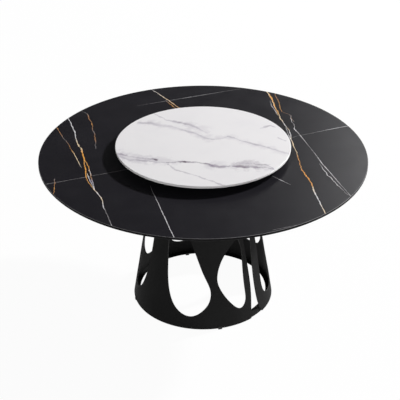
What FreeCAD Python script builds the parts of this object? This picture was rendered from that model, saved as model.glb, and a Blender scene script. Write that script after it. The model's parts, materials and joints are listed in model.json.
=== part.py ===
import FreeCAD, Part
import math
import os

from FreeCAD import Vector

# Round dining table with a lazy susan: a stone slab on a conical steel pedestal that is cut
# by leaning windows, and a smaller stone turntable that spins on a ring of balls.
# Millimetres, +Z up, origin on the floor in the table's axis, diners' front towards -Y.

# Stone slab
TOP_DIAMETER = 1500.0
TOP_HEIGHT = 755.0
TOP_THICKNESS = 12.0
EDGE_CHAMFER = 1.5

# Pedestal wall: a rolled cone of sheet steel with its two ends left apart
WALL_BOTTOM_DIAMETER = 670.0
WALL_TOP_DIAMETER = 438.0
WALL_SHEET = 5.0
FLOOR_GAP = 5.0

# Angle ring and plate welded inside the wall
WELD_GAP = 0.1
BASE_RING_BORE = 608.0
BASE_RING_HEIGHT = 21.0
BASE_RING_SHEET = 3.0
BASE_RING_LENGTHS = 4
BASE_RING_FIRST_JOINT = -84.0
TOP_PLATE_THICKNESS = 8.0

# Rubber clips on the wall's lower edge
GLIDE_COUNT = 4
GLIDE_FIRST_AZIMUTH = -76.0
GLIDE_LENGTH = 18.0
GLIDE_GRIP = 9.0
GLIDE_LEG = 1.5
GLIDE_FIT = 0.1

# Support frame under the slab
ARM_COUNT = 6
ARM_WIDTH = 40.0
ARM_HEIGHT = 20.0
ARM_WALL = 2.0
ARM_START_RADIUS = 75.0
ARM_REACH = 520.0
CAP_FLANGE = 2.5
CAP_PLUG_DEPTH = 16.0
CAP_FIT = 0.15
SPIDER_DIAMETER = 390.0
SPIDER_THICKNESS = 6.0
TOP_PAD_THICKNESS = 3.0
TOP_PAD_SIZE = 30.0
TOP_PAD_MARGIN = 25.0
TOP_PAD_INNER_RADIUS = 240.0

# Bolts, washers, weld nuts and the threaded bosses bonded under the slab
ROUND_SIDES = 12
BOLT_DIAMETER = 8.0
BOLT_HOLE = 9.0
BOLT_FLATS = 13.0
BOLT_HEAD_HEIGHT = 5.3
NUT_HEIGHT = 6.5
BOLT_TAIL = 1.5
THREAD_FIT = 0.05
WASHER_DIAMETER = 16.0
WASHER_THICKNESS = 1.6
FRAME_BOLT_MARGIN = 30.0
ANCHOR_RADIUS = 100.0
ANCHOR_FLATS = 41.0
ANCHOR_THREAD_DEPTH = 16.0
ANCHOR_BOLT_REACH = 14.0
ANCHOR_ACCESS_HOLE = 24.0

# Turntable and its ball bearing
TURNTABLE_DIAMETER = 800.0
TURNTABLE_RISE = 46.0
TURNTABLE_THICKNESS = 11.0
TURNTABLE_CHAMFER = 1.2
BALL_COUNT = 16
BALL_SIDES = 8
BALL_DIAMETER = 10.0
BALL_CIRCLE_DIAMETER = 380.0
BALL_CLEARANCE = 0.3
RACE_GAP = 6.0
INNER_RING_WIDTH = 22.0
OUTER_RING_WIDTH = 20.0
RING_STAGGER = 3.0
CAGE_THICKNESS = 3.0
CAGE_HEIGHT = 15.0
BEARING_PAD_COUNT = 6
BEARING_PAD_THICKNESS = 2.5
BEARING_PAD_LENGTH = 30.0
BEARING_PAD_WIDTH = 12.0

# Windows in the pedestal wall, seen from outside: points on each closed outline as azimuth in
# degrees and height in percent of the wall's height.
WINDOWS = {
    "front_left": [
        (-125.1, 48.0), (-123.5, 34.3), (-120.0, 22.0), (-112.4, 12.3), (-100.5, 8.5),
        (-90.0, 12.9), (-84.0, 20.1), (-83.3, 26.1), (-88.0, 36.0), (-97.0, 52.5),
        (-104.5, 66.3), (-115.0, 82.0), (-122.5, 75.0), (-125.7, 61.0),
    ],
    "front_right": [
        (-77.0, 35.3), (-75.2, 42.3), (-69.0, 50.8), (-60.5, 57.0), (-54.4, 59.0),
        (-51.0, 54.3), (-50.4, 42.3), (-50.4, 21.2), (-51.4, 13.5), (-55.0, 10.6),
        (-65.0, 15.8), (-73.8, 26.3),
    ],
    "right": [
        (-28.4, 52.2), (-28.3, 38.0), (-28.6, 24.0), (-27.0, 14.3), (-23.5, 10.5),
        (-16.0, 8.4), (-8.0, 8.0), (1.0, 10.5), (7.5, 19.7), (10.0, 35.3),
        (8.0, 55.0), (2.0, 70.5), (-8.0, 82.0), (-19.5, 79.0), (-26.5, 66.3),
    ],
    "back_right": [
        (16.5, 46.0), (17.5, 34.4), (22.0, 29.5), (28.5, 24.9), (37.0, 22.4), (46.0, 22.0),
        (57.0, 25.0), (64.0, 34.0), (66.0, 48.0), (62.0, 65.0), (52.0, 79.0),
        (39.0, 84.6), (27.0, 78.0), (19.0, 62.0),
    ],
    "back": [
        (86.0, 44.0), (88.5, 27.0), (98.0, 16.5), (111.0, 12.8), (119.5, 15.8), (123.5, 27.0),
        (122.5, 43.7), (117.0, 60.6), (107.0, 72.0), (95.0, 66.0), (88.0, 56.0),
    ],
    "back_left": [
        (166.3, 42.3), (164.5, 32.0), (159.0, 23.1), (151.0, 15.4), (145.0, 13.8),
        (137.0, 16.5), (132.0, 23.5), (130.0, 37.0), (132.0, 55.0), (138.0, 70.5),
        (147.0, 81.0), (157.0, 76.5), (164.0, 60.5),
    ],
    "left": [
        (-146.6, 49.4), (-147.4, 40.9), (-149.2, 31.0), (-153.0, 20.8), (-159.5, 13.3),
        (-168.0, 11.3), (-175.0, 14.5), (-178.0, 25.4), (-177.5, 42.3), (-174.0, 60.6),
        (-166.0, 77.5), (-157.0, 82.0), (-150.0, 75.5), (-146.8, 62.0),
    ],
}

# The slit between the sheet's ends, from the lower edge to the upper edge
SLIT_LEFT = [(-46.9, 0.0), (-45.7, 7.8), (-44.5, 15.5), (-44.8, 38.1), (-44.5, 100.0)]
SLIT_RIGHT = [(-32.7, 0.0), (-36.2, 7.0), (-37.9, 15.5), (-38.3, 35.3), (-37.8, 100.0)]

# Levels worked out from the floor up
TOP_UNDERSIDE = TOP_HEIGHT - TOP_THICKNESS
ARM_TOP = TOP_UNDERSIDE - TOP_PAD_THICKNESS
SPIDER_TOP = ARM_TOP - ARM_HEIGHT
WALL_TOP = SPIDER_TOP - SPIDER_THICKNESS
WALL_BOTTOM = FLOOR_GAP
WALL_HEIGHT = WALL_TOP - WALL_BOTTOM
TOP_PLATE_UNDERSIDE = WALL_TOP - TOP_PLATE_THICKNESS
BASE_RING_TOP = WALL_BOTTOM + BASE_RING_HEIGHT
TURNTABLE_TOP = TOP_HEIGHT + TURNTABLE_RISE
TURNTABLE_UNDERSIDE = TURNTABLE_TOP - TURNTABLE_THICKNESS
INNER_RING_BOTTOM = TOP_HEIGHT + BEARING_PAD_THICKNESS
OUTER_RING_TOP = TURNTABLE_UNDERSIDE - BEARING_PAD_THICKNESS
INNER_RING_TOP = OUTER_RING_TOP - RING_STAGGER
OUTER_RING_BOTTOM = INNER_RING_BOTTOM + RING_STAGGER
BALL_LEVEL = (INNER_RING_BOTTOM + OUTER_RING_TOP) / 2

# Radii of the bearing worked out from its ball circle
BALL_RADIUS = BALL_DIAMETER / 2
BALL_CIRCLE_RADIUS = BALL_CIRCLE_DIAMETER / 2
INNER_RING_OUTSIDE = BALL_CIRCLE_RADIUS - RACE_GAP / 2
INNER_RING_BORE_RADIUS = INNER_RING_OUTSIDE - INNER_RING_WIDTH
OUTER_RING_INSIDE = BALL_CIRCLE_RADIUS + RACE_GAP / 2
OUTER_RING_OUTSIDE = OUTER_RING_INSIDE + OUTER_RING_WIDTH
INNER_PAD_CIRCLE = INNER_RING_OUTSIDE - INNER_RING_WIDTH / 2
OUTER_PAD_CIRCLE = OUTER_RING_INSIDE + OUTER_RING_WIDTH / 2
POCKET_RADIUS = BALL_RADIUS + BALL_CLEARANCE

# The wall leans in by this much for each millimetre that it rises
WALL_LEAN = (WALL_BOTTOM_DIAMETER - WALL_TOP_DIAMETER) / 2 / WALL_HEIGHT
WALL_LEVEL_THICKNESS = WALL_SHEET * math.hypot(1, WALL_LEAN)

# Midway between the arms stand by turns a bolt of the frame and an anchor of the slab
ARM_PITCH = 360.0 / ARM_COUNT
ARM_AZIMUTHS = [index * ARM_PITCH for index in range(ARM_COUNT)]
BOLT_AZIMUTHS = [azimuth + ARM_PITCH / 2 for azimuth in ARM_AZIMUTHS]
FRAME_BOLT_RADIUS = SPIDER_DIAMETER / 2 - FRAME_BOLT_MARGIN
FRAME_PLACES = [(FRAME_BOLT_RADIUS, azimuth) for azimuth in BOLT_AZIMUTHS[0::2]]
ANCHOR_PLACES = [(ANCHOR_RADIUS, azimuth) for azimuth in BOLT_AZIMUTHS[1::2]]

AXIS = Vector(0, 0, 1)


def wall_outside(height):
    return WALL_BOTTOM_DIAMETER / 2 - WALL_LEAN * (height - WALL_BOTTOM)


def wall_inside(height):
    return wall_outside(height) - WALL_LEVEL_THICKNESS


def polar(radius, azimuth, height):
    angle = math.radians(azimuth)
    return Vector(radius * math.cos(angle), radius * math.sin(angle), height)


def turned(solid, azimuth):
    """The solid, modelled along +X, swung round the table's axis."""
    return solid.rotated(Vector(), AXIS, azimuth)


def spaced(count):
    return [360.0 * index / count for index in range(count)]


def revolved(outline, sweep=360.0):
    """Solid of revolution about the table's axis from (radius, height) corners."""
    corners = [Vector(radius, 0, height) for radius, height in outline]
    face = Part.Face(Part.makePolygon(corners + corners[:1]))
    return face.revolve(Vector(), AXIS, sweep)


def prism(sides, corner_radius, centre, height):
    """Upright bar of equal sides on its lower face's centre."""
    corners = [centre + polar(corner_radius, angle, 0) for angle in spaced(sides)]
    return Part.Face(Part.makePolygon(corners + corners[:1])).extrude(AXIS * height)


def upright(radius, centre_radius, azimuth, bottom, top):
    """Round bar at a place given from the table's axis, with few sides, because such bars repeat."""
    return prism(ROUND_SIDES, radius, polar(centre_radius, azimuth, bottom), top - bottom)


def hexagon(flats, centre, height):
    return prism(6, flats / math.sqrt(3), centre, height)


def slab(diameter, bottom, top, chamfer):
    radius = diameter / 2
    return revolved([
        (0, bottom),
        (radius - chamfer, bottom),
        (radius, bottom + chamfer),
        (radius, top - chamfer),
        (radius - chamfer, top),
        (0, top),
    ])


def outline_point(distance, middle, azimuth, percent):
    """Point of a window's outline on an upright plane that faces the window's middle."""
    sideways = distance * math.tan(math.radians(azimuth - middle))
    return Vector(distance, sideways, WALL_BOTTOM + WALL_HEIGHT * percent / 100)


def narrowed(wire, near, far):
    """The outline drawn on the far plane, carried along the radii to the near plane."""
    squeeze = FreeCAD.Matrix()
    squeeze.A11 = squeeze.A22 = near / far
    return wire.transformGeometry(squeeze)


def radial_cutter(wire, middle, near, far):
    """Cutter whose sides run straight out from the table's axis through the outline."""
    cutter = Part.makeLoft([narrowed(wire, near, far), wire], True, True)
    return turned(cutter, middle)


def window_cutter(points, near, far):
    azimuths = [azimuth for azimuth, percent in points]
    middle = (min(azimuths) + max(azimuths)) / 2
    curve = Part.BSplineCurve()
    curve.interpolate(
        Points=[outline_point(far, middle, *point) for point in points], PeriodicFlag=True
    )
    return radial_cutter(Part.Wire([curve.toShape()]), middle, near, far)


def slit_cutter(near, far):
    """Cutter through both edges of the wall, between the two curved ends of the sheet."""
    middle = (SLIT_LEFT[-1][0] + SLIT_RIGHT[-1][0]) / 2
    past = Vector(0, 0, WALL_SHEET)
    sides = []
    for points in (SLIT_LEFT, SLIT_RIGHT):
        side = Part.BSplineCurve()
        side.interpolate([outline_point(far, middle, *point) for point in points])
        sides.append(side)
    left, right = sides
    below = [left.StartPoint, left.StartPoint - past, right.StartPoint - past, right.StartPoint]
    above = [left.EndPoint, left.EndPoint + past, right.EndPoint + past, right.EndPoint]
    edges = Part.makePolygon(below).Edges + Part.makePolygon(above).Edges
    wire = Part.Wire(Part.__sortEdges__([left.toShape(), right.toShape()] + edges))
    return radial_cutter(wire, middle, near, far)


def tabletop_stone():
    return slab(TOP_DIAMETER, TOP_UNDERSIDE, TOP_HEIGHT, EDGE_CHAMFER)


def pedestal_wall():
    cone = revolved([
        (wall_outside(WALL_BOTTOM), WALL_BOTTOM),
        (wall_outside(WALL_TOP), WALL_TOP),
        (wall_inside(WALL_TOP), WALL_TOP),
        (wall_inside(WALL_BOTTOM), WALL_BOTTOM),
    ])
    near = wall_inside(WALL_TOP) / 2
    far = wall_outside(WALL_BOTTOM) + WALL_SHEET
    cutters = [window_cutter(points, near, far) for points in WINDOWS.values()]
    return cone.cut(cutters + [slit_cutter(near, far)]).Solids[0]


def weld_radius(height):
    """Outer radius of what is welded against the inside of the wall."""
    return wall_inside(height) - WELD_GAP


def leg_radius(height):
    """Inner face of the base ring's upright leg."""
    return weld_radius(height) - BASE_RING_SHEET


def base_ring():
    """Lengths of rolled angle welded end to end: an upright leg along the wall's lower edge and
    a flat leg turned inwards."""
    flat_bottom = BASE_RING_TOP - BASE_RING_SHEET
    section = [
        (weld_radius(WALL_BOTTOM), WALL_BOTTOM),
        (weld_radius(BASE_RING_TOP), BASE_RING_TOP),
        (BASE_RING_BORE / 2, BASE_RING_TOP),
        (BASE_RING_BORE / 2, flat_bottom),
        (leg_radius(flat_bottom), flat_bottom),
        (leg_radius(WALL_BOTTOM), WALL_BOTTOM),
    ]
    sweep = 360.0 / BASE_RING_LENGTHS - math.degrees(WELD_GAP / weld_radius(WALL_BOTTOM))
    length = revolved(section, sweep)
    return [turned(length, BASE_RING_FIRST_JOINT + azimuth) for azimuth in spaced(BASE_RING_LENGTHS)]


def drilled(plate, places, diameter, bottom, top):
    """The plate with a round hole through it at each place."""
    return plate.cut([upright(diameter / 2, *place, bottom, top) for place in places])


def top_plate():
    levels = (TOP_PLATE_UNDERSIDE, WALL_TOP)
    plate = revolved([
        (0, TOP_PLATE_UNDERSIDE),
        (weld_radius(TOP_PLATE_UNDERSIDE), TOP_PLATE_UNDERSIDE),
        (weld_radius(WALL_TOP), WALL_TOP),
        (0, WALL_TOP),
    ])
    plate = drilled(plate, FRAME_PLACES, BOLT_HOLE, *levels)
    return drilled(plate, ANCHOR_PLACES, ANCHOR_ACCESS_HOLE, *levels)


def spider_plate():
    plate = Part.makeCylinder(SPIDER_DIAMETER / 2, SPIDER_THICKNESS, Vector(0, 0, WALL_TOP))
    return drilled(plate, FRAME_PLACES + ANCHOR_PLACES, BOLT_HOLE, WALL_TOP, SPIDER_TOP)


def edge_glides():
    """Clips over the wall and the ring's leg, leaning with them, with a web that meets the floor."""
    grip_top = WALL_BOTTOM + GLIDE_GRIP
    reach = GLIDE_FIT + GLIDE_LEG
    section = [
        (leg_radius(WALL_BOTTOM) - reach, 0),
        (wall_outside(WALL_BOTTOM) + reach, 0),
        (wall_outside(WALL_BOTTOM) + reach, WALL_BOTTOM),
        (wall_outside(grip_top) + reach, grip_top),
        (wall_outside(grip_top) + GLIDE_FIT, grip_top),
        (wall_outside(WALL_BOTTOM) + GLIDE_FIT, WALL_BOTTOM),
        (leg_radius(WALL_BOTTOM) - GLIDE_FIT, WALL_BOTTOM),
        (leg_radius(grip_top) - GLIDE_FIT, grip_top),
        (leg_radius(grip_top) - reach, grip_top),
        (leg_radius(WALL_BOTTOM) - reach, WALL_BOTTOM),
    ]
    sweep = math.degrees(GLIDE_LENGTH / wall_outside(WALL_BOTTOM))
    clip = revolved(section, sweep)
    first = GLIDE_FIRST_AZIMUTH - sweep / 2
    return [turned(clip, first + azimuth) for azimuth in spaced(GLIDE_COUNT)]


def support_arms():
    length = ARM_REACH - CAP_FLANGE - ARM_START_RADIUS
    corner = Vector(ARM_START_RADIUS, -ARM_WIDTH / 2, SPIDER_TOP)
    inset = Vector(0, ARM_WALL, ARM_WALL)
    hollow = Part.makeBox(length, ARM_WIDTH - 2 * ARM_WALL, ARM_HEIGHT - 2 * ARM_WALL, corner + inset)
    tube = Part.makeBox(length, ARM_WIDTH, ARM_HEIGHT, corner).cut(hollow)
    return [turned(tube, azimuth) for azimuth in ARM_AZIMUTHS]


def arm_end_caps():
    tube_end = ARM_REACH - CAP_FLANGE
    inset = ARM_WALL + CAP_FIT
    flange = Part.makeBox(
        CAP_FLANGE, ARM_WIDTH, ARM_HEIGHT, Vector(tube_end, -ARM_WIDTH / 2, SPIDER_TOP)
    )
    plug = Part.makeBox(
        CAP_PLUG_DEPTH,
        ARM_WIDTH - 2 * inset,
        ARM_HEIGHT - 2 * inset,
        Vector(tube_end - CAP_PLUG_DEPTH, inset - ARM_WIDTH / 2, SPIDER_TOP + inset),
    )
    cap = flange.fuse(plug).removeSplitter()
    return [turned(cap, azimuth) for azimuth in ARM_AZIMUTHS]


def top_pads():
    pads = []
    for radius in (TOP_PAD_INNER_RADIUS, ARM_REACH - TOP_PAD_MARGIN):
        corner = Vector(radius - TOP_PAD_SIZE / 2, -TOP_PAD_SIZE / 2, ARM_TOP)
        pad = Part.makeBox(TOP_PAD_SIZE, TOP_PAD_SIZE, TOP_PAD_THICKNESS, corner)
        pads += [turned(pad, azimuth) for azimuth in ARM_AZIMUTHS]
    return pads


def bolts(places, seat, length):
    """Hexagon bolts pushed up through a washer that bears on the seat level."""
    head_top = seat - WASHER_THICKNESS
    made = []
    for place in places:
        head = hexagon(BOLT_FLATS, polar(*place, head_top - BOLT_HEAD_HEIGHT), BOLT_HEAD_HEIGHT)
        made.append(head.fuse(upright(BOLT_DIAMETER / 2, *place, head_top, seat + length)))
    return made


def washers(places, seat):
    levels = (seat - WASHER_THICKNESS, seat)
    made = []
    for place in places:
        disc = upright(WASHER_DIAMETER / 2, *place, *levels)
        made.append(disc.cut(upright(BOLT_HOLE / 2, *place, *levels)))
    return made


def threaded_bars(places, flats, height, depth):
    """Hexagonal bars on the spider plate, threaded from below for a bolt."""
    radius = BOLT_DIAMETER / 2 + THREAD_FIT
    made = []
    for place in places:
        bar = hexagon(flats, polar(*place, SPIDER_TOP), height)
        made.append(bar.cut(upright(radius, *place, SPIDER_TOP, SPIDER_TOP + depth)))
    return made


def anchor_bolts():
    return bolts(ANCHOR_PLACES, WALL_TOP, SPIDER_THICKNESS + ANCHOR_BOLT_REACH)


def anchor_washers():
    return washers(ANCHOR_PLACES, WALL_TOP)


def anchor_bosses():
    return threaded_bars(ANCHOR_PLACES, ANCHOR_FLATS, TOP_UNDERSIDE - SPIDER_TOP, ANCHOR_THREAD_DEPTH)


def frame_bolts():
    grip = TOP_PLATE_THICKNESS + SPIDER_THICKNESS
    return bolts(FRAME_PLACES, TOP_PLATE_UNDERSIDE, grip + NUT_HEIGHT + BOLT_TAIL)


def frame_washers():
    return washers(FRAME_PLACES, TOP_PLATE_UNDERSIDE)


def frame_nuts():
    return threaded_bars(FRAME_PLACES, BOLT_FLATS, NUT_HEIGHT, NUT_HEIGHT)


def bearing_ring(face, back, bottom, top):
    """Ring with a right-angled ball groove turned into the face towards the balls."""
    depth = POCKET_RADIUS * math.sqrt(2) - RACE_GAP / 2
    groove = face + math.copysign(depth, back - face)
    return revolved([
        (face, bottom),
        (back, bottom),
        (back, top),
        (face, top),
        (face, BALL_LEVEL + depth),
        (groove, BALL_LEVEL),
        (face, BALL_LEVEL - depth),
    ])


def bearing_inner_ring():
    return bearing_ring(INNER_RING_OUTSIDE, INNER_RING_BORE_RADIUS, INNER_RING_BOTTOM, INNER_RING_TOP)


def bearing_outer_ring():
    return bearing_ring(OUTER_RING_INSIDE, OUTER_RING_OUTSIDE, OUTER_RING_BOTTOM, OUTER_RING_TOP)


def bearing_pads(circle_radius, bottom):
    """Short curved strips that follow a ring."""
    inside = circle_radius - BEARING_PAD_WIDTH / 2
    outside = circle_radius + BEARING_PAD_WIDTH / 2
    top = bottom + BEARING_PAD_THICKNESS
    sweep = math.degrees(BEARING_PAD_LENGTH / circle_radius)
    strip = revolved([(inside, bottom), (outside, bottom), (outside, top), (inside, top)], sweep)
    return [turned(strip, azimuth - sweep / 2) for azimuth in spaced(BEARING_PAD_COUNT)]


def bearing_foot_pads():
    return bearing_pads(INNER_PAD_CIRCLE, TOP_HEIGHT)


def plate_pads():
    return bearing_pads(OUTER_PAD_CIRCLE, OUTER_RING_TOP)


def bearing_balls():
    """Balls with few faces, because they repeat: ruled lofts from pole to pole."""
    centre = Vector(BALL_CIRCLE_RADIUS, 0, BALL_LEVEL)
    pole = AXIS * BALL_RADIUS
    sections = [Part.Vertex(centre - pole)]
    for latitude in (-45, 0, 45):
        radius = BALL_RADIUS * math.cos(math.radians(latitude))
        rise = BALL_RADIUS * math.sin(math.radians(latitude))
        corners = [centre + polar(radius, angle, rise) for angle in spaced(BALL_SIDES)]
        sections.append(Part.makePolygon(corners + corners[:1]))
    sections.append(Part.Vertex(centre + pole))
    ball = Part.makeLoft(sections, True, True)
    return [turned(ball, azimuth) for azimuth in spaced(BALL_COUNT)]


def ball_cage():
    """Band between the rings, slotted from above for the balls."""
    inside = BALL_CIRCLE_RADIUS - CAGE_THICKNESS / 2
    outside = BALL_CIRCLE_RADIUS + CAGE_THICKNESS / 2
    bottom = BALL_LEVEL - CAGE_HEIGHT / 2
    top = BALL_LEVEL + CAGE_HEIGHT / 2
    band = revolved([(inside, bottom), (outside, bottom), (outside, top), (inside, top)])
    slot_floor = BALL_LEVEL - POCKET_RADIUS
    corner = Vector(BALL_CIRCLE_RADIUS - RACE_GAP / 2, -POCKET_RADIUS, slot_floor)
    slot = Part.makeBox(RACE_GAP, 2 * POCKET_RADIUS, top - slot_floor, corner)
    return band.cut([turned(slot, azimuth) for azimuth in spaced(BALL_COUNT)])


def turntable_stone():
    return slab(TURNTABLE_DIAMETER, TURNTABLE_UNDERSIDE, TURNTABLE_TOP, TURNTABLE_CHAMFER)


PIECES = [
    tabletop_stone,
    pedestal_wall,
    base_ring,
    top_plate,
    edge_glides,
    spider_plate,
    support_arms,
    arm_end_caps,
    top_pads,
    anchor_bosses,
    anchor_bolts,
    anchor_washers,
    frame_bolts,
    frame_washers,
    frame_nuts,
    bearing_inner_ring,
    bearing_foot_pads,
    bearing_balls,
    ball_cage,
    bearing_outer_ring,
    plate_pads,
    turntable_stone,
]

os.makedirs("parts", exist_ok=True)
for piece in PIECES:
    made = piece()
    shape = Part.makeCompound(made) if isinstance(made, list) else made
    shape.exportStep(f"parts/{piece.__name__}.step")
    solids = shape.Solids
    volume = sum(solid.Volume for solid in solids)
    print(f"{piece.__name__}: {len(solids)} solids, {volume / 1000:.1f} cm3, valid {shape.isValid()}")
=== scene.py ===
import json
import math

import bmesh
import bpy
from mathutils import Matrix, Vector

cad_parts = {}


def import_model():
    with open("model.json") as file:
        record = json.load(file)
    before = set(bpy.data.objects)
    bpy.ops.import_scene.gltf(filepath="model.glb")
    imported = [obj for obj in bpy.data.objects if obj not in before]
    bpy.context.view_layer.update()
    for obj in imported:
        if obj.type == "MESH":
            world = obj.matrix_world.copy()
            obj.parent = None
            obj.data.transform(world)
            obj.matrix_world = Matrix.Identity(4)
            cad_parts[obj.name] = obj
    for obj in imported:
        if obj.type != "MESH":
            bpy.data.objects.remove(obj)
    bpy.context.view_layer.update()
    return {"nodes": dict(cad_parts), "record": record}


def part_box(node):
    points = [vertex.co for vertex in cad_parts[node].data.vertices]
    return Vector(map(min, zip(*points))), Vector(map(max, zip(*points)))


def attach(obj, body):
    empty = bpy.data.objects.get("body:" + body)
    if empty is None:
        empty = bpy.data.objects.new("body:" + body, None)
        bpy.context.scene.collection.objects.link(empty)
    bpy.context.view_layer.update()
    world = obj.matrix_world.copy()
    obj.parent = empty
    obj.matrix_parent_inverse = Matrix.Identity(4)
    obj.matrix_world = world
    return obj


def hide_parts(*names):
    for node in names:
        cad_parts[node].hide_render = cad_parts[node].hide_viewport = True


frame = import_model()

NODES = frame["nodes"]
scene = bpy.context.scene
scene.view_settings.view_transform = "Standard"

# Boxes read from the frame, in metres
TOP_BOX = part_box("tabletop_stone")
SUSAN_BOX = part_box("turntable_stone")
BALLS_LOW, BALLS_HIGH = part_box("bearing_balls")

# Sizes that the frame doesn't give; the lean is how far the wall comes in for each metre that it rises
MM = 0.001
TOP_BEVEL = 1.5 * MM
SUSAN_BEVEL = 1.2 * MM
RIM_SEGMENTS = 256
BALL_COUNT = 16
WALL_LEAN = 0.164
SHARP_ANGLE = math.radians(30)
GRAIN_DEPTH = 0.2 * MM


# Small helpers for node trees

class Tree:
    """Short calls for building a node tree."""

    def __init__(self, tree):
        self.tree = tree
        self.tree.nodes.clear()

    def node(self, kind, **settings):
        made = self.tree.nodes.new("ShaderNode" + kind)
        for name, value in settings.items():
            setattr(made, name, value)
        return made

    def put(self, socket, value):
        if isinstance(value, bpy.types.NodeSocket):
            self.tree.links.new(value, socket)
        else:
            socket.default_value = value

    def math(self, operation, *values):
        made = self.node("Math", operation=operation)
        for socket, value in zip(made.inputs, values):
            self.put(socket, value)
        return made.outputs[0]

    def vector(self, operation, *values):
        made = self.node("VectorMath", operation=operation)
        for socket, value in zip(made.inputs, values):
            self.put(socket, value)
        return made.outputs["Value" if operation == "DOT_PRODUCT" else "Vector"]

    def span(self, value, low, high, start, end, smooth=True):
        """The value carried from low..high to start..end, and held outside."""
        made = self.node("MapRange", interpolation_type="SMOOTHSTEP" if smooth else "LINEAR")
        for socket, each in zip(made.inputs, (value, low, high, start, end)):
            self.put(socket, each)
        return made.outputs[0]

    def spread(self, noise, start, end):
        """A noise carried from its usual range to start..end."""
        return self.span(noise, 0.3, 0.7, start, end)

    def noise(self, vector, scale, detail, roughness=0.5):
        made = self.node("TexNoise")
        self.put(made.inputs["Vector"], vector)
        self.put(made.inputs["Scale"], scale)
        self.put(made.inputs["Detail"], detail)
        self.put(made.inputs["Roughness"], roughness)
        return made

    def mix(self, factor, first, second):
        made = self.node("Mix", data_type="RGBA")
        self.put(made.inputs["Factor"], factor)
        self.put(made.inputs["A"], first)
        self.put(made.inputs["B"], second)
        return made.outputs["Result"]

    def ramp(self, value, stops):
        made = self.node("ValToRGB")
        self.put(made.inputs[0], value)
        elements = made.color_ramp.elements
        while len(elements) < len(stops):
            elements.new(0.5)
        for element, (place, colour) in zip(elements, stops):
            element.position = place
            element.color = colour
        return made.outputs[0]

    def bump(self, height, strength, distance):
        made = self.node("Bump")
        made.inputs["Strength"].default_value = strength
        made.inputs["Distance"].default_value = distance
        self.put(made.inputs["Height"], height)
        return made.outputs[0]


def grey(value):
    return (value, value, value, 1.0)


def material(name):
    """A new material, its tree, its shader and the piece's own coordinates in metres."""
    made = bpy.data.materials.new(name)
    made.use_nodes = True
    tree = Tree(made.node_tree)
    shader = tree.node("BsdfPrincipled")
    output = tree.node("OutputMaterial")
    tree.put(output.inputs["Surface"], shader.outputs[0])
    place = tree.node("TexCoord").outputs["Object"]
    return made, tree, shader, place


# Veined sintered stone

BLACK = (0.0134, 0.0127, 0.0157, 1.0)
PAPER = (0.805, 0.790, 0.800, 1.0)
GOLD = (0.60, 0.31, 0.10, 1.0)
ORANGE = (0.90, 0.42, 0.09, 1.0)
CREAM = (0.80, 0.64, 0.43, 1.0)
BROWN = (0.38, 0.20, 0.10, 1.0)
CHALK = (0.72, 0.71, 0.73, 1.0)
ASH = (0.24, 0.23, 0.235, 1.0)
LILAC = (0.46, 0.42, 0.52, 1.0)
SHADED_PAPER = (0.775, 0.760, 0.775, 1.0)
# Painted shade: the black top's edge, lower bevel and underside are darker than its face
SHADED_EDGE_BLACK = (0.0058, 0.0056, 0.0062, 1.0)
# Painted light: the turntable's edge, bevels and underside are paler than its face
LIT_EDGE_WHITE = (0.88, 0.87, 0.87, 1.0)
# Painted highlight: the black top's upper bevel is paler, to show a bright line along the arris
HIGHLIGHT_BEVEL_GREY = (0.16, 0.157, 0.163, 1.0)


def warped(tree, place, *pushes):
    """The coordinates pushed about, so that a straight line wanders as a vein does. Each push is
    a noise scale and its reach in millimetres."""
    moved = place
    for scale, reach in pushes:
        drift = tree.noise(place, scale, detail=1.0).outputs["Color"]
        drift = tree.vector("SUBTRACT", drift, (0.5, 0.5, 0.5))
        drift = tree.vector("MULTIPLY", drift, (reach * MM, reach * MM, 0.0))
        moved = tree.vector("ADD", moved, drift)
    return moved


def uneven(tree, place, scale, least, most):
    """A factor that rises and falls over the stone."""
    swell = tree.noise(place, scale, detail=3.0, roughness=0.6).outputs[0]
    return tree.span(swell, 0.32, 0.68, least, most)


def vein(tree, under, place, swell, points, widths, stops, strength=1.0, soft=0.45):
    """One vein over the colour under it. Points and widths are in millimetres, from end to end;
    stops are colours along the vein; soft is how much of the half width is a soft edge."""
    first, last = (Vector(points[0]) * MM, Vector(points[-1]) * MM)
    chord = last - first
    length = chord.length
    along = chord / length
    across = Vector((-along.y, along.x))
    steps = [(Vector(p) * MM - first) for p in points]
    shares = [step.dot(along) / length for step in steps]
    offsets = [step.dot(across) for step in steps]
    low = min(offsets)
    swing = max(max(offsets) - low, MM)

    mapping = tree.node("Mapping", vector_type="TEXTURE")
    start = first + across * low
    mapping.inputs["Location"].default_value = (start.x, start.y, 0)
    mapping.inputs["Rotation"].default_value = (0, 0, math.atan2(along.y, along.x))
    mapping.inputs["Scale"].default_value = (length, 1, 1)
    tree.put(mapping.inputs["Vector"], place)
    parts = tree.node("SeparateXYZ")
    tree.put(parts.inputs[0], mapping.outputs[0])
    share, side = parts.outputs[0], parts.outputs[1]

    def curve(pairs):
        made = tree.node("FloatCurve")
        line = made.mapping.curves[0].points
        for _ in pairs[2:]:
            line.new(0.5, 0.5)
        for point, (x, y) in zip(line, pairs):
            point.location = (x, y)
            point.handle_type = "VECTOR"
        made.mapping.update()
        tree.put(made.inputs["Value"], share)
        return made.outputs[0]

    middle = curve([(s, (o - low) / swing) for s, o in zip(shares, offsets)])
    distance = tree.math("ABSOLUTE", tree.math("MULTIPLY_ADD", middle, -swing, side))
    widest = max(widths)
    shared = [(index / (len(widths) - 1), w / widest) for index, w in enumerate(widths)]
    half = tree.math("MULTIPLY", tree.math("MULTIPLY", curve(shared), widest * MM / 2), swell)
    rim = tree.math("DIVIDE", distance, half)
    mask = tree.span(rim, 1.0 + soft, 1.0 - soft, 0.0, strength)
    within = tree.math("COMPARE", share, 0.5, 0.5)
    mask = tree.math("MULTIPLY", mask, within)
    colour = tree.ramp(share, [(i / max(len(stops) - 1, 1), c) for i, c in enumerate(stops)])
    return tree.mix(mask, under, colour)


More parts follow.
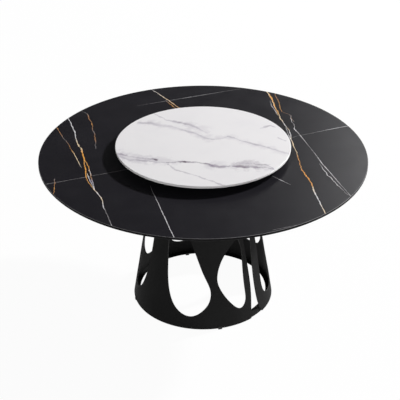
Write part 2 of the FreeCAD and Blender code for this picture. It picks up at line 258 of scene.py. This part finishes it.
def stone_surface(tree, shader, place, roughness, grain):
    """Satin of pressed and fired stone: faint mottling of the gloss and a very fine grain."""
    mottle = tree.noise(place, scale=14.0, detail=4.0).outputs[0]
    tree.put(shader.inputs["Roughness"], tree.spread(mottle, roughness - 0.03, roughness + 0.03))
    fine = tree.noise(place, scale=1400.0, detail=2.0).outputs[0]
    tree.put(shader.inputs["Normal"], tree.bump(fine, grain, GRAIN_DEPTH))


def black_body(tree, place, dark=BLACK):
    """Black stone body with barely lighter clouds and fine specks."""
    clouds = tree.noise(place, scale=5.0, detail=5.0, roughness=0.6).outputs[0]
    lighter = tuple(1.2 * c for c in dark[:3]) + (1.0,)
    colour = tree.mix(tree.span(clouds, 0.35, 0.75, 0.0, 1.0), dark, lighter)
    specks = tree.noise(place, scale=520.0, detail=1.0).outputs[0]
    return tree.mix(tree.span(specks, 0.70, 0.82, 0.0, 0.35), colour, grey(0.03))


def black_stone_face():
    made, tree, shader, place = material("black_stone_face")
    colour = black_body(tree, place)
    jagged = warped(tree, place, (10.0, 8), (30.0, 11), (95.0, 6))
    gentle = warped(tree, place, (10.0, 6), (30.0, 6), (95.0, 3))
    straight = warped(tree, place, (10.0, 5), (60.0, 2))
    swell = uneven(tree, place, 48.0, 0.42, 1.0)

    def add(line, points, widths, stops, **more):
        nonlocal colour
        colour = vein(tree, colour, line, swell, points, widths, stops, **more)

    # Left side
    add(gentle, [(-665, 390), (-630, 285), (-610, 218), (-599, 158), (-587, 106), (-574, 62), (-561, 45)],
        [5, 5, 5, 5, 5, 6, 6], [ASH, CHALK, CHALK, CHALK, CHALK, CREAM, CREAM])
    add(jagged, [(-562, 46), (-552, 0), (-538, -63), (-531, -111), (-521, -177), (-516, -229),
                 (-498, -286), (-480, -328), (-467, -353)],
        [6, 8, 8, 6, 6, 6, 5, 5, 4], [CREAM, ORANGE, ORANGE, GOLD, ORANGE, ORANGE, GOLD, GOLD, CREAM])
    add(jagged, [(-538, -69), (-522, -96), (-513, -129), (-506, -171), (-496, -212), (-486, -258),
                 (-477, -303), (-466, -353)],
        [5, 5, 4, 4, 4, 4, 4, 4], [ORANGE, GOLD, ORANGE, CHALK, GOLD, LILAC, CHALK, CHALK])
    add(jagged, [(-513, -200), (-507, -223), (-498, -252), (-486, -292), (-472, -337)],
        [4, 6, 5, 4, 3], [CREAM, CHALK, LILAC, CHALK, CHALK])
    add(gentle, [(-471, -342), (-455, -375), (-437, -413), (-426, -448), (-421, -483), (-409, -525),
                 (-396, -572), (-384, -617), (-355, -715)],
        [5, 5, 6, 5, 4, 4, 4, 4, 4], [CREAM, CHALK, CREAM, CHALK, ASH, ASH, ASH, CHALK, ASH])
    add(gentle, [(-715, 297), (-675, 198), (-657, 152), (-639, 119), (-621, 74), (-598, 11), (-575, -51),
                 (-556, -111), (-544, -147)],
        [6, 5, 4, 4, 3, 3, 4, 4, 3], [GOLD, BROWN, BROWN, ASH, BROWN, GOLD, CREAM, CREAM, ASH])
    add(jagged, [(-615, 452), (-576, 425), (-560, 392), (-553, 359), (-536, 317), (-529, 282),
                 (-526, 238), (-512, 196), (-508, 139), (-498, 91), (-494, 43)],
        [3, 4, 4, 4, 4, 4, 4, 4, 4, 4, 3],
        [ASH, ASH, BROWN, BROWN, GOLD, BROWN, ASH, BROWN, BROWN, ASH, ASH])
    add(straight, [(-700, -305), (-535, -241), (-485, -220), (-330, -157)],
        [4, 3, 3, 3], [ASH, ASH, ASH, ASH], strength=0.95)
    add(jagged, [(-652, -247), (-649, -304), (-645, -349), (-641, -392)],
        [3, 4, 4, 3], [ASH, BROWN, GOLD, BROWN])

    # Front and back
    add(straight, [(-230, -310), (-110, -770)], [2, 4, 4], [ASH, CHALK, CHALK], strength=0.9)
    add(jagged, [(-270, 710), (-170, 565), (-105, 455)], [4, 5, 6], [CHALK, CREAM, GOLD])
    add(jagged, [(-190, 575), (-130, 465)], [2, 4, 3], [ASH, GOLD, GOLD])
    add(straight, [(-325, 505), (190, 710)], [2, 4, 3], [ASH, CHALK, ASH], strength=0.55)

    # Right side
    add(jagged, [(322, 690), (337, 608), (345, 567), (352, 517), (361, 464), (367, 420), (372, 381),
                 (381, 338), (389, 300)],
        [7, 6, 6, 6, 7, 6, 6, 5, 5], [CREAM, CREAM, GOLD, CREAM, CREAM, GOLD, CREAM, CREAM, CHALK])
    add(jagged, [(334, 650), (344, 590), (350, 544), (358, 490), (367, 446), (370, 411)],
        [3, 5, 5, 5, 4, 3], [GOLD, ORANGE, GOLD, ORANGE, GOLD, GOLD])
    add(jagged, [(335, 567), (337, 517), (347, 477), (356, 446), (363, 398)],
        [2, 4, 4, 4, 2], [ASH, CHALK, LILAC, CHALK, CREAM])
    add(gentle, [(388, 300), (395, 275), (398, 237), (403, 204), (406, 172), (410, 136)],
        [4, 4, 4, 4, 4, 4], [CHALK, CHALK, ASH, CHALK, CHALK])
    add(gentle, [(390, 290), (403, 258), (410, 229), (413, 192), (414, 160), (411, 138)],
        [3, 4, 4, 4, 4, 3], [CHALK, CREAM, CHALK, CHALK, CREAM])
    add(jagged, [(410, 156), (415, 100), (421, 53), (427, 6), (431, -32), (436, -100), (441, -158),
                 (451, -210), (465, -256), (473, -292), (476, -324)],
        [5, 5, 4, 4, 4, 4, 5, 6, 6, 5],
        [CHALK, CREAM, CREAM, CREAM, GOLD, ORANGE, GOLD, ORANGE, ORANGE, ORANGE, GOLD])
    add(gentle, [(475, -318), (479, -355), (486, -399), (493, -442), (500, -489), (507, -526),
                 (520, -600)],
        [6, 6, 5, 4, 4, 4], [CREAM, CHALK, CHALK, CREAM, CHALK])
    add(jagged, [(358, 690), (371, 581), (378, 535), (380, 491), (383, 459), (389, 437), (400, 424)],
        [4, 4, 4, 4, 4, 3], [BROWN, BROWN, BROWN, GOLD, GOLD, BROWN])
    add(jagged, [(400, 424), (420, 407), (425, 390), (426, 359), (429, 321), (436, 287), (437, 254),
                 (445, 221), (457, 182)],
        [3, 3, 4, 3, 3, 4, 4, 3], [BROWN, ASH, CHALK, ASH, CHALK, CHALK, ASH])
    add(jagged, [(426, 394), (431, 351), (441, 325)], [2, 3, 2], [ASH, BROWN, ASH])
    add(straight, [(456, 184), (487, 78), (512, -9), (539, -115), (574, -219), (611, -332), (652, -460)],
        [4, 3, 4, 4, 3, 4], [CHALK, ASH, CHALK, CHALK, ASH, CHALK], strength=0.9)
    add(jagged, [(527, -101), (532, -139), (540, -177), (550, -209), (563, -237), (577, -274),
                 (594, -323), (615, -372), (633, -405)],
        [2, 4, 4, 4, 3, 3, 3], [ASH, CHALK, CHALK, CHALK, ASH, ASH], strength=0.9)
    add(straight, [(420, 157), (440, 172), (466, 182), (562, 226), (700, 285)],
        [3, 3, 4, 4], [ASH, ASH, CHALK, CHALK], strength=0.75)
    add(straight, [(305, -220), (380, -300)], [2, 3, 3], [ASH, CHALK, ASH], strength=0.8)
    add(straight, [(285, -680), (405, -635)], [2, 3, 2], [ASH, ASH, ASH])

    tree.put(shader.inputs["Base Color"], colour)
    shader.inputs["Specular IOR Level"].default_value = 0.06
    stone_surface(tree, shader, place, roughness=0.33, grain=0.05)
    return made


def black_stone_edge():
    made, tree, shader, place = material("black_stone_edge")
    # Painted shade: the edge, lower bevel and underside take a darker black than the face
    tree.put(shader.inputs["Base Color"], black_body(tree, place, SHADED_EDGE_BLACK))
    shader.inputs["Specular IOR Level"].default_value = 0.06
    stone_surface(tree, shader, place, roughness=0.50, grain=0.10)
    return made


def black_stone_arris():
    """Ground bevel, painted paler than the fired face as a highlight line along the arris."""
    made, tree, shader, place = material("black_stone_arris")
    tree.put(shader.inputs["Base Color"], black_body(tree, place, HIGHLIGHT_BEVEL_GREY))
    shader.inputs["Specular IOR Level"].default_value = 0.15
    stone_surface(tree, shader, place, roughness=0.34, grain=0.10)
    return made


def white_body(tree, place, light=PAPER):
    """White stone body with barely darker clouds."""
    clouds = tree.noise(place, scale=4.0, detail=5.0, roughness=0.6).outputs[0]
    return tree.mix(tree.span(clouds, 0.40, 0.80, 0.0, 1.0), light, SHADED_PAPER)


def white_stone_face():
    made, tree, shader, place = material("white_stone_face")
    colour = white_body(tree, place)
    feathered = warped(tree, place, (7.0, 14), (22.0, 15), (75.0, 8), (200.0, 3))
    swell = uneven(tree, place, 26.0, 0.45, 1.7)
    fade = uneven(tree, place, 13.0, 0.60, 1.0)
    pale, mist = (0.56, 0.53, 0.58, 1.0), (0.42, 0.39, 0.45, 1.0)
    dusk, ink = (0.26, 0.22, 0.28, 1.0), (0.13, 0.10, 0.13, 1.0)

    def add(points, widths, stops, strength, soft=0.8):
        nonlocal colour
        colour = vein(tree, colour, feathered, swell, points, widths, stops,
                      tree.math("MULTIPLY", fade, strength), soft)

    # Broad soft shadows of the veins
    add([(-410, -105), (-300, -143), (-200, -165), (-90, -180)],
        [52, 56, 46, 26], [mist, mist, mist, pale], strength=0.50, soft=0.95)
    add([(-10, -190), (60, -212), (120, -212)],
        [20, 46, 30], [pale, mist, pale], strength=0.45, soft=0.95)
    add([(115, -210), (150, -203), (190, -207), (230, -214), (270, -216), (310, -240)],
        [16, 56, 66, 60, 44, 14], [mist, dusk, dusk, dusk, mist, mist], strength=0.55, soft=0.9)
    add([(-150, 235), (-90, 212), (-20, 160), (30, 115)],
        [20, 36, 50, 44], [pale, mist, pale, pale], strength=0.45, soft=0.95)
    add([(-310, 222), (-248, 216), (-180, 188), (-60, 120), (40, 50), (110, 70)],
        [30, 36, 26, 26, 40, 30], [mist, mist, pale, pale, mist, pale], strength=0.45, soft=0.95)
    add([(110, 75), (230, 0), (400, -105)], [32, 30, 32], [pale, pale, pale], strength=0.40, soft=0.95)

    # Lines
    add([(-240, 315), (-199, 277), (-170, 244), (-134, 230), (-91, 212), (-55, 191), (-23, 159), (0, 138),
         (19, 112)],
        [7, 8, 8, 10, 11, 10, 9, 8, 6], [pale, mist, mist, mist, dusk, dusk, mist, mist, pale],
        strength=0.65, soft=0.95)
    add([(-305, 224), (-276, 216), (-248, 217), (-216, 195), (-180, 185), (-149, 181)],
        [7, 11, 11, 8, 7, 6], [mist, dusk, mist, pale, pale, pale], strength=0.6, soft=0.95)
    add([(-149, 181), (-101, 146), (-62, 120), (-23, 99), (8, 68), (38, 48), (69, 48), (96, 55),
         (108, 72)],
        [6, 8, 9, 10, 10, 10, 11, 9, 6], [pale, pale, mist, mist, mist, mist, dusk, mist],
        strength=0.65, soft=0.95)
    add([(108, 77), (146, 55), (184, 27), (202, 15), (228, 1), (266, -18), (302, -45), (339, -68),
         (395, -103)],
        [8, 8, 8, 8, 7, 8, 8, 8, 7], [mist, mist, mist, dusk, mist, mist, mist, mist],
        strength=0.65, soft=0.95)
    add([(-405, -94), (-374, -104), (-336, -120), (-298, -135), (-260, -142), (-223, -148), (-198, -160)],
        [11, 10, 10, 10, 10, 10, 11], [mist, dusk, dusk, mist, mist, dusk, ink], strength=0.75, soft=0.95)
    add([(-400, -125), (-368, -133), (-326, -153), (-282, -156), (-244, -167), (-203, -180),
         (-162, -183)],
        [10, 11, 11, 10, 10, 9, 8], [pale, mist, mist, dusk, mist, mist], strength=0.7, soft=0.95)
    add([(-165, -183), (-118, -179), (-77, -179), (-44, -176), (0, -187), (22, -194), (44, -213),
         (66, -222), (88, -218), (120, -213)],
        [8, 9, 11, 11, 12, 12, 14, 17, 14, 11],
        [dusk, dusk, ink, dusk, dusk, ink, dusk, dusk, dusk, dusk], strength=0.95)
    add([(-90, -180), (-64, -178)], [3, 9, 3], [ink, ink], strength=1.0, soft=0.5)
    add([(-216, -152), (-196, -162)], [3, 9, 3], [ink, ink], strength=1.0, soft=0.5)
    add([(130, -214), (165, -216), (200, -218), (240, -221)],
        [8, 18, 18, 8], [dusk, ink, dusk, dusk], strength=0.8)
    add([(129, -210), (152, -186), (207, -187), (243, -198), (276, -204), (297, -225), (313, -245)],
        [4, 5, 5, 5, 6, 6, 4], [mist, mist, mist, dusk, ink, dusk, mist], strength=0.8)
    add([(118, -214), (147, -221), (191, -227), (227, -231), (264, -225), (306, -243)],
        [6, 7, 8, 7, 7, 4], [dusk, dusk, ink, dusk, ink, mist], strength=0.85)
    add([(-158, -195), (-139, -219), (-120, -245), (-94, -265), (-58, -285), (-21, -306), (15, -340),
         (43, -360), (65, -374), (112, -400)],
        [7, 7, 7, 8, 8, 8, 8, 8, 8, 7], [mist, mist, dusk, mist, mist, mist, dusk, mist],
        strength=0.75, soft=0.95)
    add([(265, 160), (298, 178), (314, 187), (338, 174)],
        [5, 12, 10, 5], [pale, mist, dusk, pale], strength=0.7)
    add([(340, 68), (364, 44), (382, 30)], [5, 12, 6], [pale, mist, mist], strength=0.7)

    tree.put(shader.inputs["Base Color"], colour)
    shader.inputs["Specular IOR Level"].default_value = 0.05
    stone_surface(tree, shader, place, roughness=0.42, grain=0.05)
    return made


def white_stone_edge():
    made, tree, shader, place = material("white_stone_edge")
    # Painted light: the edge, bevels and underside take a paler white than the face
    tree.put(shader.inputs["Base Color"], white_body(tree, place, LIT_EDGE_WHITE))
    stone_surface(tree, shader, place, roughness=0.38, grain=0.10)
    return made


# Coats, metals, rubber and plastics

COAT_DARK = grey(0.0125)
COAT_LIGHT = grey(0.0155)
# Partly painted light: the paler colour of the wall's cut faces
COAT_THIN_AND_LIT = grey(0.060)
ZINC = (0.56, 0.58, 0.62, 1.0)
ZINC_DULL = (0.50, 0.50, 0.48, 1.0)


def powder_coat(name, lean=None):
    """Deep matt black powder coat with its faint orange peel. With the lean of a conical wall, the
    faces cut across the sheet are paler in patches, partly as a coat drawn thin over an edge and
    partly as painted light on the window sills and cut edges."""
    made, tree, shader, place = material(name)
    tone = tree.noise(place, scale=6.0, detail=3.0).outputs[0]
    colour = tree.mix(tone, COAT_DARK, COAT_LIGHT)
    if lean:
        outward = tree.vector("NORMALIZE", tree.vector("MULTIPLY", place, (1, 1, 0)))
        outward = tree.vector("ADD", outward, (0, 0, lean))
        normal = tree.node("NewGeometry").outputs["True Normal"]
        facing = tree.vector("DOT_PRODUCT", normal, outward)
        # Painted light on the cut faces, broken into patches like a thin, worn coat
        cut = tree.span(tree.math("ABSOLUTE", facing), 0.55, 0.80, 1.0, 0.0)
        wear_and_light = tree.noise(place, scale=120.0, detail=4.0).outputs[0]
        cut = tree.math("MULTIPLY", cut, tree.spread(wear_and_light, 0.55, 1.0))
        colour = tree.mix(cut, colour, COAT_THIN_AND_LIT)
    tree.put(shader.inputs["Base Color"], colour)
    shader.inputs["Specular IOR Level"].default_value = 0.05
    peel = tree.noise(place, scale=650.0, detail=1.0).outputs[0]
    tree.put(shader.inputs["Roughness"], tree.spread(peel, 0.60, 0.70))
    tree.put(shader.inputs["Normal"], tree.bump(peel, strength=0.25, distance=GRAIN_DEPTH))
    return made


def soft_matter(name, dark, light, roughness, scale, strength, clear=0.0):
    """Rubber, silicone and moulded plastic: slightly uneven colour and a fine moulded grain."""
    made, tree, shader, place = material(name)
    tone = tree.noise(place, scale=60.0, detail=3.0).outputs[0]
    tree.put(shader.inputs["Base Color"], tree.mix(tone, dark, light))
    grain = tree.noise(place, scale, detail=2.0).outputs[0]
    tree.put(shader.inputs["Roughness"], tree.spread(grain, roughness - 0.06, roughness + 0.06))
    tree.put(shader.inputs["Normal"], tree.bump(grain, strength, GRAIN_DEPTH))
    shader.inputs["Transmission Weight"].default_value = clear
    return made


def metal(name, colour, dull, roughness, turned=False):
    """Bare metal with an even grain, or with the fine rings that a lathe leaves."""
    made, tree, shader, place = material(name)
    shader.inputs["Metallic"].default_value = 1.0
    stain = tree.noise(place, scale=30.0, detail=4.0).outputs[0]
    tree.put(shader.inputs["Base Color"], tree.mix(tree.span(stain, 0.35, 0.7, 0.0, 1.0), colour, dull))
    if turned:
        parts = tree.node("SeparateXYZ")
        tree.put(parts.inputs[0], place)
        squares = [tree.math("POWER", parts.outputs[axis], 2.0) for axis in (0, 1)]
        radius = tree.math("SQRT", tree.math("ADD", *squares))
        track = tree.node("CombineXYZ")
        tree.put(track.inputs[0], radius)
        tree.put(track.inputs[1], parts.outputs[2])
        grain = tree.noise(track.outputs[0], scale=2600.0, detail=2.0).outputs[0]
    else:
        grain = tree.noise(place, scale=900.0, detail=3.0).outputs[0]
    tree.put(shader.inputs["Roughness"], tree.spread(grain, roughness - 0.06, roughness + 0.06))
    tree.put(shader.inputs["Normal"], tree.bump(grain, strength=0.2, distance=GRAIN_DEPTH / 2))
    return made


FINISH = {
    "black_steel": powder_coat("powder_coat"),
    "black_rubber": soft_matter(
        "black_rubber", grey(0.012), grey(0.02), roughness=0.75, scale=900.0, strength=0.4),
    "clear_silicone": soft_matter(
        "clear_silicone", grey(0.70), grey(0.80), roughness=0.40, scale=500.0, strength=0.2, clear=0.6),
    "black_plastic": soft_matter(
        "black_plastic", grey(0.014), grey(0.02), roughness=0.50, scale=1100.0, strength=0.5),
    "white_plastic": soft_matter(
        "white_plastic", grey(0.66), grey(0.74), roughness=0.45, scale=1100.0, strength=0.3),
    "mill_aluminium": metal("mill_aluminium", grey(0.62), grey(0.52), roughness=0.42),
    "turned_aluminium": metal("turned_aluminium", grey(0.74), grey(0.66), roughness=0.28, turned=True),
    "zinc_steel": metal("zinc_steel", ZINC, ZINC_DULL, roughness=0.34),
    "polished_steel": metal("polished_steel", grey(0.72), grey(0.68), roughness=0.12),
}


def dress(node, finish):
    """Puts one finish on all of a CAD node."""
    for slot in node.material_slots:
        slot.material = finish


# The two slabs aren't in the list of finishes, because pieces with veins replace them
for part in frame["record"]["subparts"]:
    if part["material_slot"] in FINISH:
        dress(NODES[part["node"]], FINISH[part["material_slot"]])
dress(NODES["pedestal_wall"], powder_coat("powder_coat_wall", lean=WALL_LEAN))


# Pieces that are made again with finer form

def shown(name, mesh, body, slot, *nodes):
    """Links a mesh as a piece that stands for CAD nodes and rides on their body."""
    piece = bpy.data.objects.new(name, mesh)
    scene.collection.objects.link(piece)
    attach(piece, body)
    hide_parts(*nodes)


def turned_slab(name, box, bevel, body, slot, node, *finishes):
    """Round slab with a bevel above and below. Its finishes are the veined face's, the one of the edge,
    lower bevel and underside, and the upper bevel's."""
    low, high = box
    radius = high.x
    corner = radius - bevel
    middle = radius / 2
    profile = [
        (middle, high.z), (corner, high.z), (radius, high.z - bevel),
        (radius, low.z + bevel), (corner, low.z), (middle, low.z),
    ]
    face, edge, upper_bevel = range(len(finishes))
    # On the black top, the upper bevel's paler finish is a painted highlight and the edge's darker finish
    # is painted shade
    bands = (face, upper_bevel, edge, edge, edge)
    angles = [2 * math.pi * i / RIM_SEGMENTS for i in range(RIM_SEGMENTS)]
    form = bmesh.new()
    rings = []
    for r, z in profile:
        rings.append([form.verts.new((r * math.cos(a), r * math.sin(a), z)) for a in angles])

    def add(corners, finish):
        made = form.faces.new(corners)
        made.material_index = finish
        made.smooth = True

    add(rings[0], face)
    for upper, lower, finish in zip(rings, rings[1:], bands):
        for i in range(RIM_SEGMENTS):
            j = (i + 1) % RIM_SEGMENTS
            add([upper[i], lower[i], lower[j], upper[j]], finish)
    add(list(reversed(rings[-1])), edge)
    mesh = bpy.data.meshes.new(name)
    form.normal_update()
    form.to_mesh(mesh)
    form.free()
    mesh.set_sharp_from_angle(angle=SHARP_ANGLE)
    for finish in finishes:
        mesh.materials.append(finish)
    shown(name, mesh, body, slot, node)


turned_slab("tabletop_veined", TOP_BOX, TOP_BEVEL, "table", "black_stone", "tabletop_stone",
            black_stone_face(), black_stone_edge(), black_stone_arris())
white_edge = white_stone_edge()
turned_slab("turntable_veined", SUSAN_BOX, SUSAN_BEVEL, "turntable", "white_stone", "turntable_stone",
            white_stone_face(), white_edge, white_edge)


def round_balls():
    """The bearing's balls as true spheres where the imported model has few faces."""
    radius = (BALLS_HIGH.z - BALLS_LOW.z) / 2
    level = (BALLS_HIGH.z + BALLS_LOW.z) / 2
    circle = BALLS_HIGH.x - radius
    form = bmesh.new()
    for i in range(BALL_COUNT):
        angle = 2 * math.pi * i / BALL_COUNT
        place = Matrix.Translation((circle * math.cos(angle), circle * math.sin(angle), level))
        bmesh.ops.create_uvsphere(form, u_segments=24, v_segments=14, radius=radius, matrix=place)
    for each in form.faces:
        each.smooth = True
    mesh = bpy.data.meshes.new("bearing_balls_polished")
    form.to_mesh(mesh)
    form.free()
    mesh.materials.append(FINISH["polished_steel"])
    shown("bearing_balls_polished", mesh, "ball_train", "polished_steel", "bearing_balls")


round_balls()


# Floor, light and camera

FLOOR_REACH = 40.0
FLOOR_TONE = 0.86
FLOOR_WHITE = 0.96

# Ways to the parts of the studio, and their strengths, where 1 is white
BACK_WAY = (-0.24, 0.86, 0.45)
FRONT_WAY = (-0.2, -0.98, 0)
SIDE_WAY = (0.97, 0.22, 0)
EVEN_LIGHT = 0.128
BACK_DIMMED = 0.93
FRONT_LIGHT = 1.7
SIDE_LIGHT = 4.0

# Lamps and camera: places in metres, dip in degrees, turn in radians, lens in millimetres
KEY_PLACE = (11.36, 6.5, 10.0)
PANEL_PLACE = (5.07, 11.4, 7.1)
LAMP_AIM = (0, 0, 0.8)
CAMERA_PLACE = (0, -4.764, 3.227)
CAMERA_DIP = 29.73
CAMERA_TURN = 0.0030
CAMERA_LENS = 105.45


def background_rays(tree):
    """1 for the rays that show the background: the camera's, and those from gloss and through glass."""
    ray = tree.node("LightPath")
    direct = tree.math("MAXIMUM", ray.outputs["Is Camera Ray"], ray.outputs["Is Glossy Ray"])
    return tree.math("MAXIMUM", direct, ray.outputs["Is Transmission Ray"])


def floor():
    """Pale floor that shows nearly white and keeps the table's shadow."""
    corners = ((-1, -1), (1, -1), (1, 1), (-1, 1))
    mesh = bpy.data.meshes.new("floor")
    mesh.from_pydata([(x * FLOOR_REACH, y * FLOOR_REACH, 0) for x, y in corners], [], [(0, 1, 2, 3)])
    piece = bpy.data.objects.new("floor", mesh)
    scene.collection.objects.link(piece)
    made = bpy.data.materials.new("pale_floor")
    made.use_nodes = True
    tree = Tree(made.node_tree)
    matt = tree.node("BsdfDiffuse")
    matt.inputs["Color"].default_value = grey(FLOOR_TONE)
    glow = tree.node("Emission")
    blend = tree.node("MixShader")
    tree.put(blend.inputs[0], tree.math("MULTIPLY", background_rays(tree), FLOOR_WHITE))
    tree.put(blend.inputs[1], matt.outputs[0])
    tree.put(blend.inputs[2], glow.outputs[0])
    output = tree.node("OutputMaterial")
    tree.put(output.inputs["Surface"], blend.outputs[0])
    mesh.materials.append(made)


floor()


def world():
    """Soft studio: a low even light that is dim at the back, a soft front and a bright low side. Below
    about 11 degrees of rise it is white for the rays that show the background."""
    made = bpy.data.worlds.new("studio")
    scene.world = made
    made.use_nodes = True
    tree = Tree(made.node_tree)
    way = tree.node("TexCoord").outputs["Generated"]
    parts = tree.node("SeparateXYZ")
    tree.put(parts.inputs[0], way)
    height = parts.outputs[2]

    def towards(direction, start, full, strength):
        """A strength that grows as the way turns to the direction, from one cosine to another."""
        return tree.span(tree.vector("DOT_PRODUCT", way, direction), start, full, 0.0, strength)

    def below(full, none):
        """1 near the horizon, and 0 above, from one sine of the rise to another."""
        return tree.span(height, full, none, 1.0, 0.0)

    dim = towards(BACK_WAY, 0.60, 0.90, BACK_DIMMED)
    even = tree.math("MULTIPLY", tree.math("SUBTRACT", 1.0, dim), EVEN_LIGHT)
    front = tree.math("MULTIPLY", towards(FRONT_WAY, 0.30, 0.80, FRONT_LIGHT), below(0.20, 0.50))
    side = tree.math("MULTIPLY", towards(SIDE_WAY, 0.75, 0.95, SIDE_LIGHT), below(0.10, 0.28))
    studio = tree.math("ADD", tree.math("ADD", even, front), side)
    white = tree.math("MULTIPLY", background_rays(tree), below(0.18, 0.20))
    back = tree.node("Background")
    back.inputs["Color"].default_value = grey(1.0)
    tree.put(back.inputs["Strength"], tree.span(white, 0.0, 1.0, studio, 1.0, smooth=False))
    output = tree.node("OutputWorld")
    tree.put(output.inputs["Surface"], back.outputs[0])


world()


def lamp(name, place, size, power, gloss_only=False):
    """Round soft lamp. One for gloss alone shows in reflections and adds no other light."""
    light = bpy.data.lights.new(name, "AREA")
    light.shape = "DISK"
    light.size = size
    light.energy = power
    piece = bpy.data.objects.new(name, light)
    piece.location = place
    piece.rotation_euler = (Vector(place) - Vector(LAMP_AIM)).to_track_quat("Z", "Y").to_euler()
    piece.visible_camera = False
    piece.visible_diffuse = not gloss_only
    scene.collection.objects.link(piece)


lamp("key", KEY_PLACE, size=1.3, power=3500)
lamp("panel", PANEL_PLACE, size=5.6, power=930, gloss_only=True)


def photo_camera():
    """Camera fitted to the photo."""
    lens = bpy.data.cameras.new("camera")
    lens.sensor_width = 36
    lens.lens = CAMERA_LENS
    lens.clip_end = 200
    camera = bpy.data.objects.new("camera", lens)
    camera.location = CAMERA_PLACE
    camera.rotation_euler = (math.radians(90 - CAMERA_DIP), 0, CAMERA_TURN)
    scene.collection.objects.link(camera)
    scene.camera = camera


photo_camera()
